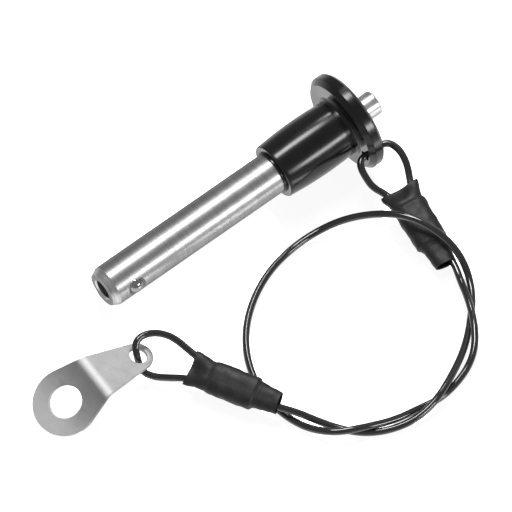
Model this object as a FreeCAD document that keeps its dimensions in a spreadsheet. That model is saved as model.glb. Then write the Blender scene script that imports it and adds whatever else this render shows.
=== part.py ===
import FreeCAD, Part
import math
import os

import Sketcher

# Ball-lock quick-release pin on a coated wire lanyard with a bent mounting tab.
# Millimetres, +Z up. The pin leans on the surface z = 0 with the rim of its flange and its tip,
# its axis above the X axis with the tip towards -X. The lanyard lies on the same surface, towards -Y.
# Along the pin, x is counted from the face of the tip towards the push button.

V = FreeCAD.Vector
PARTS = "parts"

SIZES = {
    # shank, a turned tube
    "shank_diameter": 10.0,
    "shank_bore": 4.7,
    "shank_seat": 57.2,          # rear end of the tube, inside the handle
    "seat_diameter": 9.6,
    "tip_face_diameter": 8.2,
    "tip_taper": 1.75,
    "grip_front": 9.0,           # full size starts here, behind the balls
    "nose_relief": 0.04,         # how far the lead-in taper ahead of it has drawn in at the tip
    "bore_lip": 0.35,
    # locking balls and the ramp under them
    "ball_diameter": 4.0,
    "ball_station": 6.5,
    "ball_proud": 0.95,          # how far a locked ball stands out of the shank
    "ball_mouth": 1.82,          # radius of the staked mouth that keeps the ball in
    "ball_pocket": 2.05,         # radius of the cross hole behind the mouth
    "mouth_depth": 0.55,
    "stake_radius": 2.2,         # shallow ring pressed round each mouth
    "stake_depth": 0.15,
    "ramp_gap": 0.03,
    "button_travel": 3.5,
    # spindle
    "spindle_diameter": 4.5,
    "spindle_front": 4.1,
    "waist_radius": 0.87,
    "waist_back": 10.7,
    "waist_end": 12.6,
    "spindle_shoulder": 65.3,
    "stub_diameter": 3.0,
    "stub_end": 70.7,
    # push button
    "button_diameter": 6.0,
    "button_end": 79.0,
    "button_edge": 0.45,
    "collar_diameter": 8.0,
    "collar_back": 67.6,
    # handle: barrel and flange turned in one piece
    "nose_front": 48.9,
    "nose_diameter": 10.7,
    "barrel_front": 49.55,
    "barrel_front_diameter": 13.4,
    "barrel_rear_diameter": 13.8,
    "barrel_crown": 96.0,        # radius of the barrel's long convex side
    "flange_front": 68.85,
    "flange_back": 72.8,
    "flange_diameter": 24.4,
    "flange_front_round": 1.3,
    "flange_back_round": 1.2,
    "root_fillet": 1.0,
    "barrel_edge": 0.25,
    "chamber_diameter": 8.4,
    "bush_seat": 67.7,
    "bush_diameter": 9.4,
    "bush_back": 71.5,
    "ring_groove_diameter": 10.3,
    "ring_front": 71.6,
    "ring_back": 72.2,
    "ring_diameter": 10.2,
    "ring_inner_diameter": 8.2,
    "lanyard_hole": 2.6,
    "lanyard_hole_offset": 9.4,
    # return spring
    "spring_wire": 0.7,
    "spring_radius": 3.4,
    "spring_pitch": 1.55,
    # lanyard
    "cable_diameter": 1.7,
    "ferrule_length": 10.5,
    "ferrule_width": 6.9,
    "ferrule_thickness": 4.0,
    "sleeve_wall": 0.5,
    "flange_sleeve_loop": 10.6,  # from the ferrule's middle to the sleeve's end at the loop
    "tab_sleeve_loop": 11.4,
    "flange_sleeve_tail": 11.4,  # from the ferrule's middle to the sleeve's open tail
    "tab_sleeve_tail": 11.1,
    "sleeve_step": 1.2,
    "flange_sleeve_mouth": 10.2,
    "tab_sleeve_mouth": 8.8,
    "mouth_thickness": 3.0,
    "neck_width": 6.9,
    "neck_thickness": 3.9,
    "tail_width": 5.3,
    "tail_thickness": 3.3,
    # mounting tab, a bent plate
    "tab_thickness": 1.0,
    "tab_ring_radius": 7.9,
    "tab_eye": 7.8,
    "tab_end_radius": 3.55,
    "tab_hole": 4.1,
    "tab_bend_half": 5.75,
    "tab_ring_reach": 8.75,       # from the bend to the middle of the eye
    "tab_end_reach": 12.4,       # from the bend to the middle of the small hole
    "tab_bend_radius": 4.0,
    "tab_bend_angle": 38.5,
}

# The way the balls and the lanyard hole face, in degrees round the pin's axis from +Y over +Z.
BALL_FACING = 171.3
HOLE_FACING = 192.5

# Where the bend of the tab is, and how the ring half lies: yaw, pitch and roll in degrees.
TAB_BEND = V(-57.3, -21.1, 8.55)
TAB_TURN = (-6.4, -27.8, 10.2)

# The lanyard's route: from its cut end in ferrule A up one side of the flange loop, through the
# flange, back through ferrule A, one and a half turns over the surface, through ferrule B, through
# the tab and back to its cut end in ferrule B.
ROUTE = [
    # flange loop
    (27.5, -35.2, 3.3), (29.2, -23.5, 5.4), (28.4, -18.1, 5.7), (26.7, -15.6, 6.9),
    (26.5, -13.0, 8.5), (26.9, -10.7, 9.4), (28.2, -9.17, 10.02), (34.4, -9.17, 10.7),
    (36.1, -10.4, 10.7), (36.7, -13.2, 10.1), (36.0, -16.5, 8.9), (34.4, -19.5, 7.5),
    (32.0, -24.1, 6.1), (30.3, -35.8, 4.0),
    # first turn
    (29.7, -42.2, 3.0), (28.2, -46.2, 2.2), (26.0, -51.9, 2.9), (23.1, -57.7, 2.9),
    (20.1, -62.1, 1.6), (15.6, -65.7, 0.9), (9.9, -68.1, 0.9), (4.2, -69.2, 0.9),
    (-1.3, -68.5, 0.9), (-7.9, -68.0, 1.4), (-15.1, -66.4, 2.9), (-21.4, -63.5, 2.9),
    (-24.8, -58.2, 1.6), (-26.3, -52.6, 0.9), (-26.9, -46.3, 0.9), (-26.0, -39.9, 0.9),
    (-23.0, -32.7, 0.9), (-18.1, -26.0, 0.9), (-11.4, -20.4, 0.9), (-3.5, -16.3, 0.9),
    (4.6, -14.5, 1.1), (11.8, -14.9, 2.2), (17.5, -17.7, 4.9), (22.4, -23.2, 8.5),
    (27.0, -29.1, 9.8), (29.7, -35.5, 8.7), (31.5, -40.2, 5.5),
    # second half turn
    (31.2, -45.0, 2.5), (28.2, -50.8, 0.9), (22.9, -56.5, 0.9), (16.8, -62.0, 1.5),
    (9.2, -67.0, 2.9), (2.3, -70.3, 2.9), (-4.2, -70.9, 1.5), (-10.4, -69.3, 0.9),
    (-15.6, -66.3, 0.9), (-19.2, -61.8, 1.0), (-22.1, -57.5, 1.8), (-25.0, -53.6, 3.4),
    # tab loop
    (-30.7, -46.5, 4.5), (-36.1, -35.7, 4.9), (-39.8, -31.0, 4.4), (-42.0, -28.0, 3.2),
    (-43.8, -25.3, 2.2), (-45.1, -23.2, 2.6), (-45.3, -22.0, 3.9), (-45.2, -20.3, 8.0),
    (-44.2, -19.1, 9.2), (-41.7, -18.8, 9.6), (-38.6, -20.1, 9.2), (-36.2, -23.0, 8.4),
    (-35.1, -28.6, 7.2), (-33.7, -34.5, 6.1), (-28.3, -45.3, 5.7),
]
# The two straight strands in each ferrule, as places in ROUTE.
FERRULE_A_STRANDS = ((1, 0), (12, 13))
FERRULE_B_STRANDS = ((54, 53), (66, 67))


class Size:
    """A length that carries its value and the sheet expression that gives it."""

    def __init__(self, value, text):
        self.value = value
        self.text = text

    def _join(self, other, sign, value):
        other_text = other.text if isinstance(other, Size) else repr(float(other))
        return Size(value, "(%s %s %s)" % (self.text, sign, other_text))

    def __add__(self, other):
        return self._join(other, "+", self.value + number(other))

    def __sub__(self, other):
        return self._join(other, "-", self.value - number(other))

    def __mul__(self, other):
        return self._join(other, "*", self.value * number(other))

    def __truediv__(self, other):
        return self._join(other, "/", self.value / number(other))

    def __neg__(self):
        return Size(-self.value, "(-1 * %s)" % self.text)


def number(size):
    return size.value if isinstance(size, Size) else float(size)


doc = FreeCAD.newDocument("ball_lock_pin")
sheet = doc.addObject("Spreadsheet::Sheet", "Sizes")
size = {}
for row, (name, value) in enumerate(SIZES.items(), start=1):
    sheet.set("A%d" % row, name)
    sheet.set("B%d" % row, str(value))
    sheet.setAlias("B%d" % row, name)
    size[name] = Size(value, "Sizes." + name)
doc.recompute()


def mm(name):
    """The value that a sheet cell holds."""
    return float(sheet.get(name))


nodes = {}


def keep(node, thing):
    """Names a finished sub-part; its label is the name of its file."""
    thing.Label = node
    nodes[node] = thing
    return thing


# ---------------------------------------------------------------- sketches and bodies


def new_body(name):
    return doc.addObject("PartDesign::Body", name)


def origin_plane(body, role):
    return [f for f in body.Origin.OriginFeatures if f.Role == role][0]


def new_sketch(body, name, role):
    sketch = body.newObject("Sketcher::SketchObject", name)
    sketch.AttachmentSupport = [(origin_plane(body, role), "")]
    sketch.MapMode = "FlatFace"
    return sketch


def bind(sketch, index, value):
    if isinstance(value, Size):
        sketch.setExpression("Constraints[%d]" % index, value.text)


def pin_point(sketch, geometry, end, x, y):
    """Fixes a point of a sketch at (x, y), each a size, a number or nothing for free."""
    for kind, axis, coordinate in (("DistanceX", -2, x), ("DistanceY", -1, y)):
        if abs(number(coordinate)) < 1e-9:
            sketch.addConstraint(Sketcher.Constraint("PointOnObject", geometry, end, axis))
            continue
        where = Sketcher.Constraint(kind, -1, 1, geometry, end, number(coordinate))
        bind(sketch, sketch.addConstraint(where), coordinate)


def arc_between(start, end, radius, bulge_left, major):
    """An arc from start to end, and whether it runs against the sketch's own sense."""
    half = (end - start) * 0.5
    left = V(-half.y, half.x, 0).normalize()
    rise = math.sqrt(radius * radius - half.Length ** 2)
    centre = start + half + left * (-rise if bulge_left != major else rise)
    first, last = (end, start) if bulge_left else (start, end)
    a0 = math.atan2(first.y - centre.y, first.x - centre.x)
    a1 = math.atan2(last.y - centre.y, last.x - centre.x)
    circle = Part.Circle(centre, V(0, 0, 1), radius)
    return Part.ArcOfCircle(circle, a0, a1 if a1 > a0 else a1 + 2 * math.pi), bulge_left


def closed_outline(sketch, corners, arcs=None):
    """Draws a closed outline. arcs maps the place of an edge's first corner to (radius, bulges
    left of its direction, goes the long way round); every other edge is straight."""
    arcs = arcs or {}
    points = [V(number(x), number(y), 0) for x, y in corners]
    ends = []
    for i, start in enumerate(points):
        end = points[(i + 1) % len(points)]
        if i not in arcs:
            ends.append((sketch.addGeometry(Part.LineSegment(start, end), False), 1, 2))
            continue
        radius, bulge_left, major = arcs[i]
        arc, backwards = arc_between(start, end, number(radius), bulge_left, major)
        geometry = sketch.addGeometry(arc, False)
        ends.append((geometry, 2, 1) if backwards else (geometry, 1, 2))
    for i, (geometry, first, last) in enumerate(ends):
        following, next_first, next_last = ends[(i + 1) % len(ends)]
        sketch.addConstraint(
            Sketcher.Constraint("Coincident", geometry, last, following, next_first)
        )
        pin_point(sketch, geometry, first, *corners[i])
        if i in arcs:
            limit = Sketcher.Constraint("Radius", geometry, number(arcs[i][0]))
            bind(sketch, sketch.addConstraint(limit), arcs[i][0])


def turned(node, corners, arcs=None):
    """A piece turned round the X axis from a half section."""
    body = new_body(node)
    sketch = new_sketch(body, node + "_section", "XY_Plane")
    closed_outline(sketch, corners, arcs)
    turn = body.newObject("PartDesign::Revolution", node + "_turn")
    turn.Profile = sketch
    turn.ReferenceAxis = (sketch, ["H_Axis"])
    turn.Angle = 360
    doc.recompute()
    return body


def round_edges(body, name, radius, wanted):
    """Fillets the circular edges whose (x, radius) are wanted."""
    base = body.Tip
    found = []
    for i, edge in enumerate(base.Shape.Edges, start=1):
        curve = edge.Curve
        if not isinstance(curve, Part.Circle):
            continue
        for x, edge_radius in wanted:
            if abs(curve.Center.x - x) < 1e-3 and abs(curve.Radius - edge_radius) < 1e-3:
                found.append("Edge%d" % i)
    if len(found) != len(wanted):
        raise RuntimeError("%s: found %d edges of %d" % (name, len(found), len(wanted)))
    fillet = body.newObject("PartDesign::Fillet", name)
    fillet.Base = (base, found)
    fillet.Radius = number(radius)
    fillet.setExpression("Radius", radius.text)
    doc.recompute()
    return fillet


def cut_volume(body, before, name):
    """Makes sure that the last cut took something away."""
    if body.Shape.Volume >= before - 1e-6:
        raise RuntimeError(name + " cut nothing")


# ---------------------------------------------------------------- the pin's pieces


def shank():
    outer, tip = size["shank_diameter"] / 2, size["tip_face_diameter"] / 2
    bore, lip = size["shank_bore"] / 2, size["bore_lip"]
    seat, back = size["seat_diameter"] / 2, size["shank_seat"]
    nose = outer - size["nose_relief"]
    body = turned("shank", [
        (0, bore + lip), (0, tip), (size["tip_taper"], nose), (size["grip_front"], outer),
        (size["nose_front"], outer),
        (size["nose_front"], seat), (back, seat), (back, bore), (lip, bore),
    ])
    before = body.Shape.Volume

    # The cross hole for the balls, necked at both mouths, along the local Y axis.
    cross = new_sketch(body, "ball_hole_section", "XY_Plane")
    middle = size["ball_station"]
    pocket, mouth = size["ball_pocket"], size["ball_mouth"]
    top = outer + 0.3
    neck = outer - size["mouth_depth"]
    stake, floor = size["stake_radius"], outer - size["stake_depth"]
    closed_outline(cross, [
        (middle, top), (middle, -top), (middle + stake, -top), (middle + stake, -floor),
        (middle + mouth, -floor), (middle + pocket, -neck), (middle + pocket, neck),
        (middle + mouth, floor), (middle + stake, floor), (middle + stake, top),
    ])
    axis = cross.addGeometry(
        Part.LineSegment(V(number(middle), -8, 0), V(number(middle), 8, 0)), True
    )
    cross.addConstraint(Sketcher.Constraint("Vertical", axis))
    pin_point(cross, axis, 1, middle, -8)
    cut = body.newObject("PartDesign::Groove", "ball_holes")
    cut.Profile = cross
    cut.ReferenceAxis = (cross, ["Axis0"])
    cut.Angle = 360
    doc.recompute()
    cut_volume(body, before, "ball_holes")
    return keep("shank", body)


def handle():
    nose, seat = size["nose_diameter"] / 2, size["seat_diameter"] / 2
    chamber, bush = size["chamber_diameter"] / 2, size["bush_diameter"] / 2
    groove = size["ring_groove_diameter"] / 2
    front, rear = size["barrel_front_diameter"] / 2, size["barrel_rear_diameter"] / 2
    rim = size["flange_diameter"] / 2
    x_flange, x_back = size["flange_front"], size["flange_back"]
    body = turned("handle", [
        (size["nose_front"], seat), (size["nose_front"], nose), (size["barrel_front"], nose),
        (size["barrel_front"], front), (x_flange, rear), (x_flange, rim), (x_back, rim),
        (x_back, bush), (size["ring_back"], bush), (size["ring_back"], groove),
        (size["ring_front"], groove), (size["ring_front"], bush), (size["bush_seat"], bush),
        (size["bush_seat"], chamber), (size["shank_seat"], chamber), (size["shank_seat"], seat),
    ], arcs={3: (size["barrel_crown"], True, False)})
    round_edges(body, "rim_front", size["flange_front_round"], [(mm("flange_front"), number(rim))])
    round_edges(body, "rim_back", size["flange_back_round"], [(mm("flange_back"), number(rim))])
    round_edges(body, "flange_root", size["root_fillet"], [(mm("flange_front"), number(rear))])
    round_edges(body, "barrel_nose", size["barrel_edge"], [(mm("barrel_front"), number(front))])

    before = body.Shape.Volume
    drill = new_sketch(body, "lanyard_hole_circle", "YZ_Plane")
    turn = math.radians(HOLE_FACING - BALL_FACING)
    offset = size["lanyard_hole_offset"]
    circle = drill.addGeometry(
        Part.Circle(V(number(offset) * math.cos(turn), number(offset) * math.sin(turn), 0),
                    V(0, 0, 1), mm("lanyard_hole") / 2), False
    )
    pin_point(drill, circle, 3, offset * math.cos(turn), offset * math.sin(turn))
    radius = Sketcher.Constraint("Radius", circle, mm("lanyard_hole") / 2)
    bind(drill, drill.addConstraint(radius), size["lanyard_hole"] / 2)
    hole = body.newObject("PartDesign::Pocket", "lanyard_hole")
    hole.Profile = drill
    hole.Type = "ThroughAll"
    hole.Midplane = True
    doc.recompute()
    cut_volume(body, before, "lanyard_hole")
    return keep("handle", body)


def spindle():
    """The rod that the button pushes. The ramp behind its head lets the balls sink as it moves
    forward: its slope is the ball's travel over the button's."""
    head = size["spindle_diameter"] / 2
    waist, stub = size["waist_radius"], size["stub_diameter"] / 2
    slope = mm("ball_proud") / mm("button_travel")
    lean = math.atan(slope)
    ball = mm("ball_diameter") / 2
    seat_height = mm("shank_diameter") / 2 + mm("ball_proud") - ball
    contact_x = mm("ball_station") - ball * math.sin(lean)
    contact_r = seat_height - ball * math.cos(lean) - mm("ramp_gap")
    ramp_top = contact_x - (number(head) - contact_r) / slope
    ramp_foot = contact_x + (contact_r - number(waist)) / slope
    shoulder = size["spindle_shoulder"]
    body = turned("spindle", [
        (size["spindle_front"], 0), (size["spindle_front"], head), (ramp_top, head),
        (ramp_foot, waist), (size["waist_back"], waist), (size["waist_end"], head),
        (shoulder, head), (shoulder, stub), (size["stub_end"], stub), (size["stub_end"], 0),
    ])
    return keep("spindle", body)


def push_button():
    outer, collar = size["button_diameter"] / 2, size["collar_diameter"] / 2
    stub = size["stub_diameter"] / 2
    front, end, edge = size["spindle_shoulder"], size["button_end"], size["button_edge"]
    body = turned("push_button", [
        (front, stub), (front, collar), (size["collar_back"], collar),
        (size["collar_back"], outer), (end - edge, outer), (end, outer - edge), (end, 0),
        (size["stub_end"], 0), (size["stub_end"], stub),
    ])
    return keep("push_button", body)


def rear_bush():
    bore = size["button_diameter"] / 2 + 0.06
    outer = size["bush_diameter"] / 2
    body = turned("rear_bush", [
        (size["bush_seat"], bore), (size["bush_seat"], outer), (size["bush_back"], outer),
        (size["bush_back"], bore),
    ])
    return keep("rear_bush", body)


def cylinder_x(name, x, radius, length):
    """A Part cylinder along X, with sizes from the sheet."""
    made = doc.addObject("Part::Cylinder", name)
    made.Placement = FreeCAD.Placement(V(number(x), 0, 0), FreeCAD.Rotation(V(0, 1, 0), 90))
    made.setExpression("Radius", radius.text)
    made.setExpression("Height", length.text)
    made.setExpression("Placement.Base.x", x.text)
    return made


def cut_away(name, base, *tools):
    """base less the tools, one after the other."""
    for i, tool in enumerate(tools):
        made = doc.addObject("Part::Cut", name if i == len(tools) - 1 else "%s_%d" % (name, i))
        made.Base = base
        made.Tool = tool
        base = made
    return base


def retaining_ring():
    """The open spring ring that holds the bush in the handle."""
    thickness = size["ring_back"] - size["ring_front"] - 0.06
    front = size["ring_front"] + 0.03
    outer = cylinder_x("ring_outer", front, size["ring_diameter"] / 2, thickness)
    inner = cylinder_x("ring_inner", front, size["ring_inner_diameter"] / 2, thickness)
    gap = doc.addObject("Part::Box", "ring_gap")
    gap.Length, gap.Width, gap.Height = 2, 3.4, 8
    gap.Placement = FreeCAD.Placement(V(mm("ring_front") - 0.5, -1.7, 0), FreeCAD.Rotation())
    return keep("retaining_ring", cut_away("retaining_ring", outer, inner, gap))


def locking_ball(node, side):
    ball = doc.addObject("Part::Sphere", node)
    ball.setExpression("Radius", (size["ball_diameter"] / 2).text)
    seat = size["shank_diameter"] / 2 + size["ball_proud"] - size["ball_diameter"] / 2
    ball.Placement = pin_place * FreeCAD.Placement(
        V(mm("ball_station"), side * number(seat), 0), FreeCAD.Rotation()
    )
    return keep(node, ball)


def return_spring():
    """A round wire wound round the spindle between the shank's end and the button's collar."""
    wire = size["spring_wire"] / 2
    length = size["spindle_shoulder"] - size["shank_seat"] - size["spring_wire"] - 0.1
    along = FreeCAD.Rotation(V(0, 1, 0), 90)
    start = mm("shank_seat") + mm("spring_wire") / 2 + 0.05
    coil = doc.addObject("Part::Helix", "spring_line")
    coil.setExpression("Pitch", size["spring_pitch"].text)
    coil.setExpression("Height", length.text)
    coil.setExpression("Radius", size["spring_radius"].text)
    section = doc.addObject("Part::Circle", "spring_section")
    section.setExpression("Radius", wire.text)
    section.Placement = FreeCAD.Placement(V(mm("spring_radius"), 0, 0), FreeCAD.Rotation(V(1, 0, 0), 90))
    doc.recompute()
    spring = doc.addObject("Part::Sweep", "return_spring")
    spring.Sections = [section]
    spring.Spine = (coil, ["Edge1"])
    spring.Solid = True
    spring.Frenet = True
    doc.recompute()
    spring.Placement = pin_place * FreeCAD.Placement(V(start, 0, 0), along)
    return keep("return_spring", spring)


# ---------------------------------------------------------------- the lanyard


def cable():
    """A tube of straight runs and tangent arcs, each arc as large as its two runs allow."""
    points = [V(*p) for p in ROUTE]
    edges, radii = [], []
    last = points[0]
    for before, corner, after in zip(points, points[1:], points[2:]):
        a, b = before - corner, after - corner
        run = 0.45 * min(a.Length, b.Length)
        half_turn = (math.pi - a.getAngle(b)) / 2
        radius = run / math.tan(half_turn)
        a.normalize()
        b.normalize()
        start, end = corner + a * run, corner + b * run
        middle = corner + (a + b).normalize() * (radius / math.cos(half_turn) - radius)
        edges.append(Part.LineSegment(last, start).toShape())
        edges.append(Part.Arc(start, middle, end).toShape())
        radii.append(radius)
        last = end
    edges.append(Part.LineSegment(last, points[-1]).toShape())
    spine = Part.Wire(edges)
    section = Part.Wire(Part.Circle(points[0], points[1] - points[0], mm("cable_diameter") / 2).toShape())
    tube = spine.makePipeShell([section], True, False)
    made = doc.addObject("Part::Feature", "lanyard_cable")
    made.Shape = tube
    expected = math.pi * mm("cable_diameter") ** 2 / 4 * spine.Length
    print("cable radii", " ".join("%.1f" % r for r in radii))
    print("cable length %.1f volume %.1f of %.1f" % (spine.Length, tube.Volume, expected))
    return keep("lanyard_cable", made)


def crimp_place(strands):
    """The place of a ferrule: its middle between two strands, Z along them away from the loop and
    X from the first strand to the second."""
    (a0, a1), (b0, b1) = [(V(*ROUTE[i]), V(*ROUTE[j])) for i, j in strands]
    along = (a1 - a0).normalize()
    across = b0 - a0
    across = (across - along * across.dot(along)).normalize()
    middle = (a0 + a1 + b0 + b1) * 0.25
    return FreeCAD.Placement(middle, FreeCAD.Rotation(across, along.cross(across), along, "ZXY"))


def oval(name, height, width, thickness):
    """An ellipse across Z, the wider way along X."""
    made = doc.addObject("Part::Ellipse", name)
    made.setExpression("MajorRadius", (width / 2).text)
    made.setExpression("MinorRadius", (thickness / 2).text)
    made.setExpression("Placement.Base.z", height.text)
    return made


def oval_loft(name, stations):
    loft = doc.addObject("Part::Loft", name)
    loft.Sections = [oval("%s_%d" % (name, i), *s) for i, s in enumerate(stations)]
    loft.Solid = True
    loft.Ruled = True
    return loft


def ferrule(node, strands, line):
    """A crimped oval ferrule, pressed round its two strands."""
    half = size["ferrule_length"] / 2
    width, thickness = size["ferrule_width"], size["ferrule_thickness"]
    block = oval_loft(node + "_block", [(-half, width, thickness), (half, width, thickness)])
    block.Placement = crimp_place(strands)
    return keep(node, cut_away(node, block, line))


def sleeve(node, strands, line, kind):
    """Shrink sleeve: wide and flat at the loop, where its film closes between the strands, round
    the ferrule in the middle, and a narrow open tube at the tail."""
    half = size["ferrule_length"] / 2
    wall = size["sleeve_wall"]
    full, deep = size["ferrule_width"] + wall * 2, size["ferrule_thickness"] + wall * 2
    step = size["sleeve_step"]
    loop_end, tail_end = size[kind + "_sleeve_loop"], size[kind + "_sleeve_tail"]
    tail_width, tail_thickness = size["tail_width"], size["tail_thickness"]
    outside = oval_loft(node + "_outside", [
        (-loop_end, size[kind + "_sleeve_mouth"], size["mouth_thickness"]),
        (-half - step, size["neck_width"], size["neck_thickness"]),
        (-half, full, deep),
        (half, full, deep),
        (half + step, size["neck_width"] - wall, size["neck_thickness"]),
        (tail_end, tail_width, tail_thickness),
    ])
    inside = oval_loft(node + "_inside", [
        (-half, full - wall * 2, deep - wall * 2),
        (half, full - wall * 2, deep - wall * 2),
        (half + step, size["neck_width"] - wall * 3, size["neck_thickness"] - wall * 2),
        (tail_end, tail_width - wall * 2, tail_thickness - wall * 2),
    ])
    for part in (outside, inside):
        part.Placement = crimp_place(strands)
    return keep(node, cut_away(node, outside, inside, line))


# ---------------------------------------------------------------- the mounting tab


def tab_leg(name, reach, radius, hole, is_ring):
    """One leg of the flat tab, from the bend to beyond its hole, as a tall prism along Z. The leg
    runs along -X, and its straight sides touch the round end."""
    bend_half = size["tab_bend_half"]
    corner = math.hypot(number(reach), number(bend_half))
    touch = math.atan2(number(bend_half), number(reach)) + math.acos(number(radius) / corner)
    tangent_x = -reach + radius * math.cos(touch)
    tangent_y = radius * math.sin(touch)
    overlap = 0.02
    sketch = doc.addObject("Sketcher::SketchObject", name + "_outline")
    closed_outline(sketch, [
        (overlap, bend_half), (tangent_x, tangent_y), (tangent_x, -tangent_y),
        (overlap, -bend_half),
    ], arcs={1: (radius, False, is_ring)})
    prism = doc.addObject("Part::Extrusion", name + "_prism")
    prism.Base = sketch
    prism.Dir = V(0, 0, 1)
    prism.LengthFwd = 6
    prism.LengthRev = 6
    prism.Solid = True
    drill = doc.addObject("Part::Cylinder", name + "_drill")
    drill.setExpression("Radius", (hole / 2).text)
    drill.Height = 12
    drill.setExpression("Placement.Base.x", (-reach).text)
    drill.Placement.Base.z = -6
    return cut_away(name, prism, drill)


def mounting_tab():
    """A plate with a large eye at one end and a small hole at the other, bent once between."""
    bend = math.radians(mm("tab_bend_angle"))
    thick = mm("tab_thickness") / 2
    radius = mm("tab_bend_radius")
    reach_ring = mm("tab_ring_reach") + mm("tab_ring_radius") + 1
    reach_end = mm("tab_end_reach") + mm("tab_end_radius") + 1
    tangent = radius * math.tan(bend / 2)
    down = V(math.cos(bend), 0, -math.sin(bend))
    up = V(math.sin(bend), 0, math.cos(bend))
    centre = V(-tangent, 0, -radius)
    mid = V(math.sin(bend / 2), 0, math.cos(bend / 2))

    def side(offset):
        """One side of the bent strip, seen along Y."""
        arc_end = down * tangent + up * offset
        return [
            Part.LineSegment(V(-reach_ring, 0, offset), V(-tangent, 0, offset)).toShape(),
            Part.Arc(V(-tangent, 0, offset), centre + mid * (radius + offset), arc_end).toShape(),
            Part.LineSegment(arc_end, down * reach_end + up * offset).toShape(),
        ]

    ends = [
        Part.LineSegment(V(-reach_ring, 0, -thick), V(-reach_ring, 0, thick)).toShape(),
        Part.LineSegment(down * reach_end - up * thick, down * reach_end + up * thick).toShape(),
    ]
    strip = doc.addObject("Part::Feature", "tab_strip")
    outline = Part.Wire(Part.__sortEdges__(side(thick) + side(-thick) + ends))
    strip.Shape = Part.Face(outline).extrude(V(0, 20, 0)).translated(V(0, -10, 0))
    ring_leg = tab_leg("tab_ring_leg", size["tab_ring_reach"], size["tab_ring_radius"],
                       size["tab_eye"], True)
    end_leg = tab_leg("tab_end_leg", size["tab_end_reach"], size["tab_end_radius"],
                      size["tab_hole"], False)
    doc.recompute()
    # The end leg's prism is turned end for end and stands square on the bent-down half.
    end_leg.Placement = FreeCAD.Placement(V(), FreeCAD.Rotation(V(0, 1, 0), math.degrees(bend))) * \
        FreeCAD.Placement(V(), FreeCAD.Rotation(V(0, 0, 1), 180))
    legs = doc.addObject("Part::Fuse", "tab_legs")
    legs.Base = ring_leg
    legs.Tool = end_leg
    made = doc.addObject("Part::Common", "mounting_tab")
    made.Base = strip
    made.Tool = legs
    doc.recompute()
    made.Placement = FreeCAD.Placement(TAB_BEND, FreeCAD.Rotation(*TAB_TURN))
    return keep("mounting_tab", made)


# ---------------------------------------------------------------- where the pin lies


def lying_pin():
    """The pin leans on the front of its flange's rim and on the end of its tip's taper."""
    low = mm("shank_diameter") / 2
    high = mm("flange_diameter") / 2
    near, far = mm("tip_taper"), mm("flange_front") + mm("flange_front_round")
    lean = math.atan((high - low) / (far - near))
    height = low * math.cos(lean) - near * math.sin(lean)
    tip = mm("tip_face_diameter") / 2
    button = mm("button_diameter") / 2 - mm("button_edge")
    reach = mm("button_end") * math.cos(lean) + (button - tip) * math.sin(lean)
    tilt = FreeCAD.Rotation(V(0, 1, 0), -math.degrees(lean))
    facing = FreeCAD.Rotation(V(1, 0, 0), BALL_FACING)
    print("pin leans %.3f degrees, tip face at x %.3f z %.3f" % (
        math.degrees(lean), -reach / 2, height))
    return FreeCAD.Placement(V(-reach / 2, 0, height), tilt * facing)


pin_place = lying_pin()
for piece in (shank(), handle(), spindle(), push_button(), rear_bush(), retaining_ring()):
    doc.recompute()
    piece.Placement = pin_place
return_spring()
locking_ball("locking_ball_front", 1)
locking_ball("locking_ball_rear", -1)
line = cable()
ferrule("ferrule_flange_loop", FERRULE_A_STRANDS, line)
ferrule("ferrule_tab_loop", FERRULE_B_STRANDS, line)
sleeve("sleeve_flange_loop", FERRULE_A_STRANDS, line, "flange")
sleeve("sleeve_tab_loop", FERRULE_B_STRANDS, line, "tab")
mounting_tab()
doc.recompute()

# ---------------------------------------------------------------- checks and export

for thing in doc.Objects:
    if "Invalid" in thing.State or "Error" in thing.State:
        raise RuntimeError("%s failed: %s" % (thing.Label, thing.State))
for node, thing in nodes.items():
    shape = thing.Shape
    if shape.isNull() or not shape.isValid():
        raise RuntimeError(node + " has no valid shape")
    if len(shape.Solids) != 1:
        raise RuntimeError("%s has %d solids" % (node, len(shape.Solids)))

os.makedirs(PARTS, exist_ok=True)
for node, thing in nodes.items():
    thing.Shape.exportStep(os.path.join(PARTS, node + ".step"))
    box = thing.Shape.BoundBox
    print("%-22s %9.2f mm3  x %.2f..%.2f  y %.2f..%.2f  z %.2f..%.2f" % (
        node, thing.Shape.Volume, box.XMin, box.XMax, box.YMin, box.YMax, box.ZMin, box.ZMax))
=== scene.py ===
import math

import bmesh
import bpy
from mathutils import Matrix, Vector


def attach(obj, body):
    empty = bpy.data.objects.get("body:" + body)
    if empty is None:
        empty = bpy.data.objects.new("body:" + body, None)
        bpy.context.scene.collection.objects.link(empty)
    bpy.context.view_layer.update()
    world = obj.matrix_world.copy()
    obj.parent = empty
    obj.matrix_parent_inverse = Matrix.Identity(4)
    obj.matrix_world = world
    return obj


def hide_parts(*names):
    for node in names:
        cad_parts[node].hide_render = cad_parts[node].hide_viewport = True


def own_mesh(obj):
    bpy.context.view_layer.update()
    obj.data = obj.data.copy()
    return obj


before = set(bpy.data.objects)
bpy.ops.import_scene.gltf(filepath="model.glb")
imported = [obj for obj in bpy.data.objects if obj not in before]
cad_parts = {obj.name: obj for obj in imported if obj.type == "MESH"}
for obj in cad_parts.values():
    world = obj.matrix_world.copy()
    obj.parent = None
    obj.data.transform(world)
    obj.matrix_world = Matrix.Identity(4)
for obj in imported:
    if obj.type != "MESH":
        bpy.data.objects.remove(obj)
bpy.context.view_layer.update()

# A ball-lock pin on a coated wire lanyard with a bent mounting tab. Lengths are written in
# millimetres and turned to metres by MM; +Z is up and the pin points along -X.

MM = 0.001

# How the pin leans, how its balls face round its axis, and where its tip face is.
LEAN = math.radians(6.009)
BALL_FACING = math.radians(171.3)
HOLE_FACING = math.radians(192.5)
TIP = Vector((-39.202, 0.0, 4.789))

CABLE_R = 0.85

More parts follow.
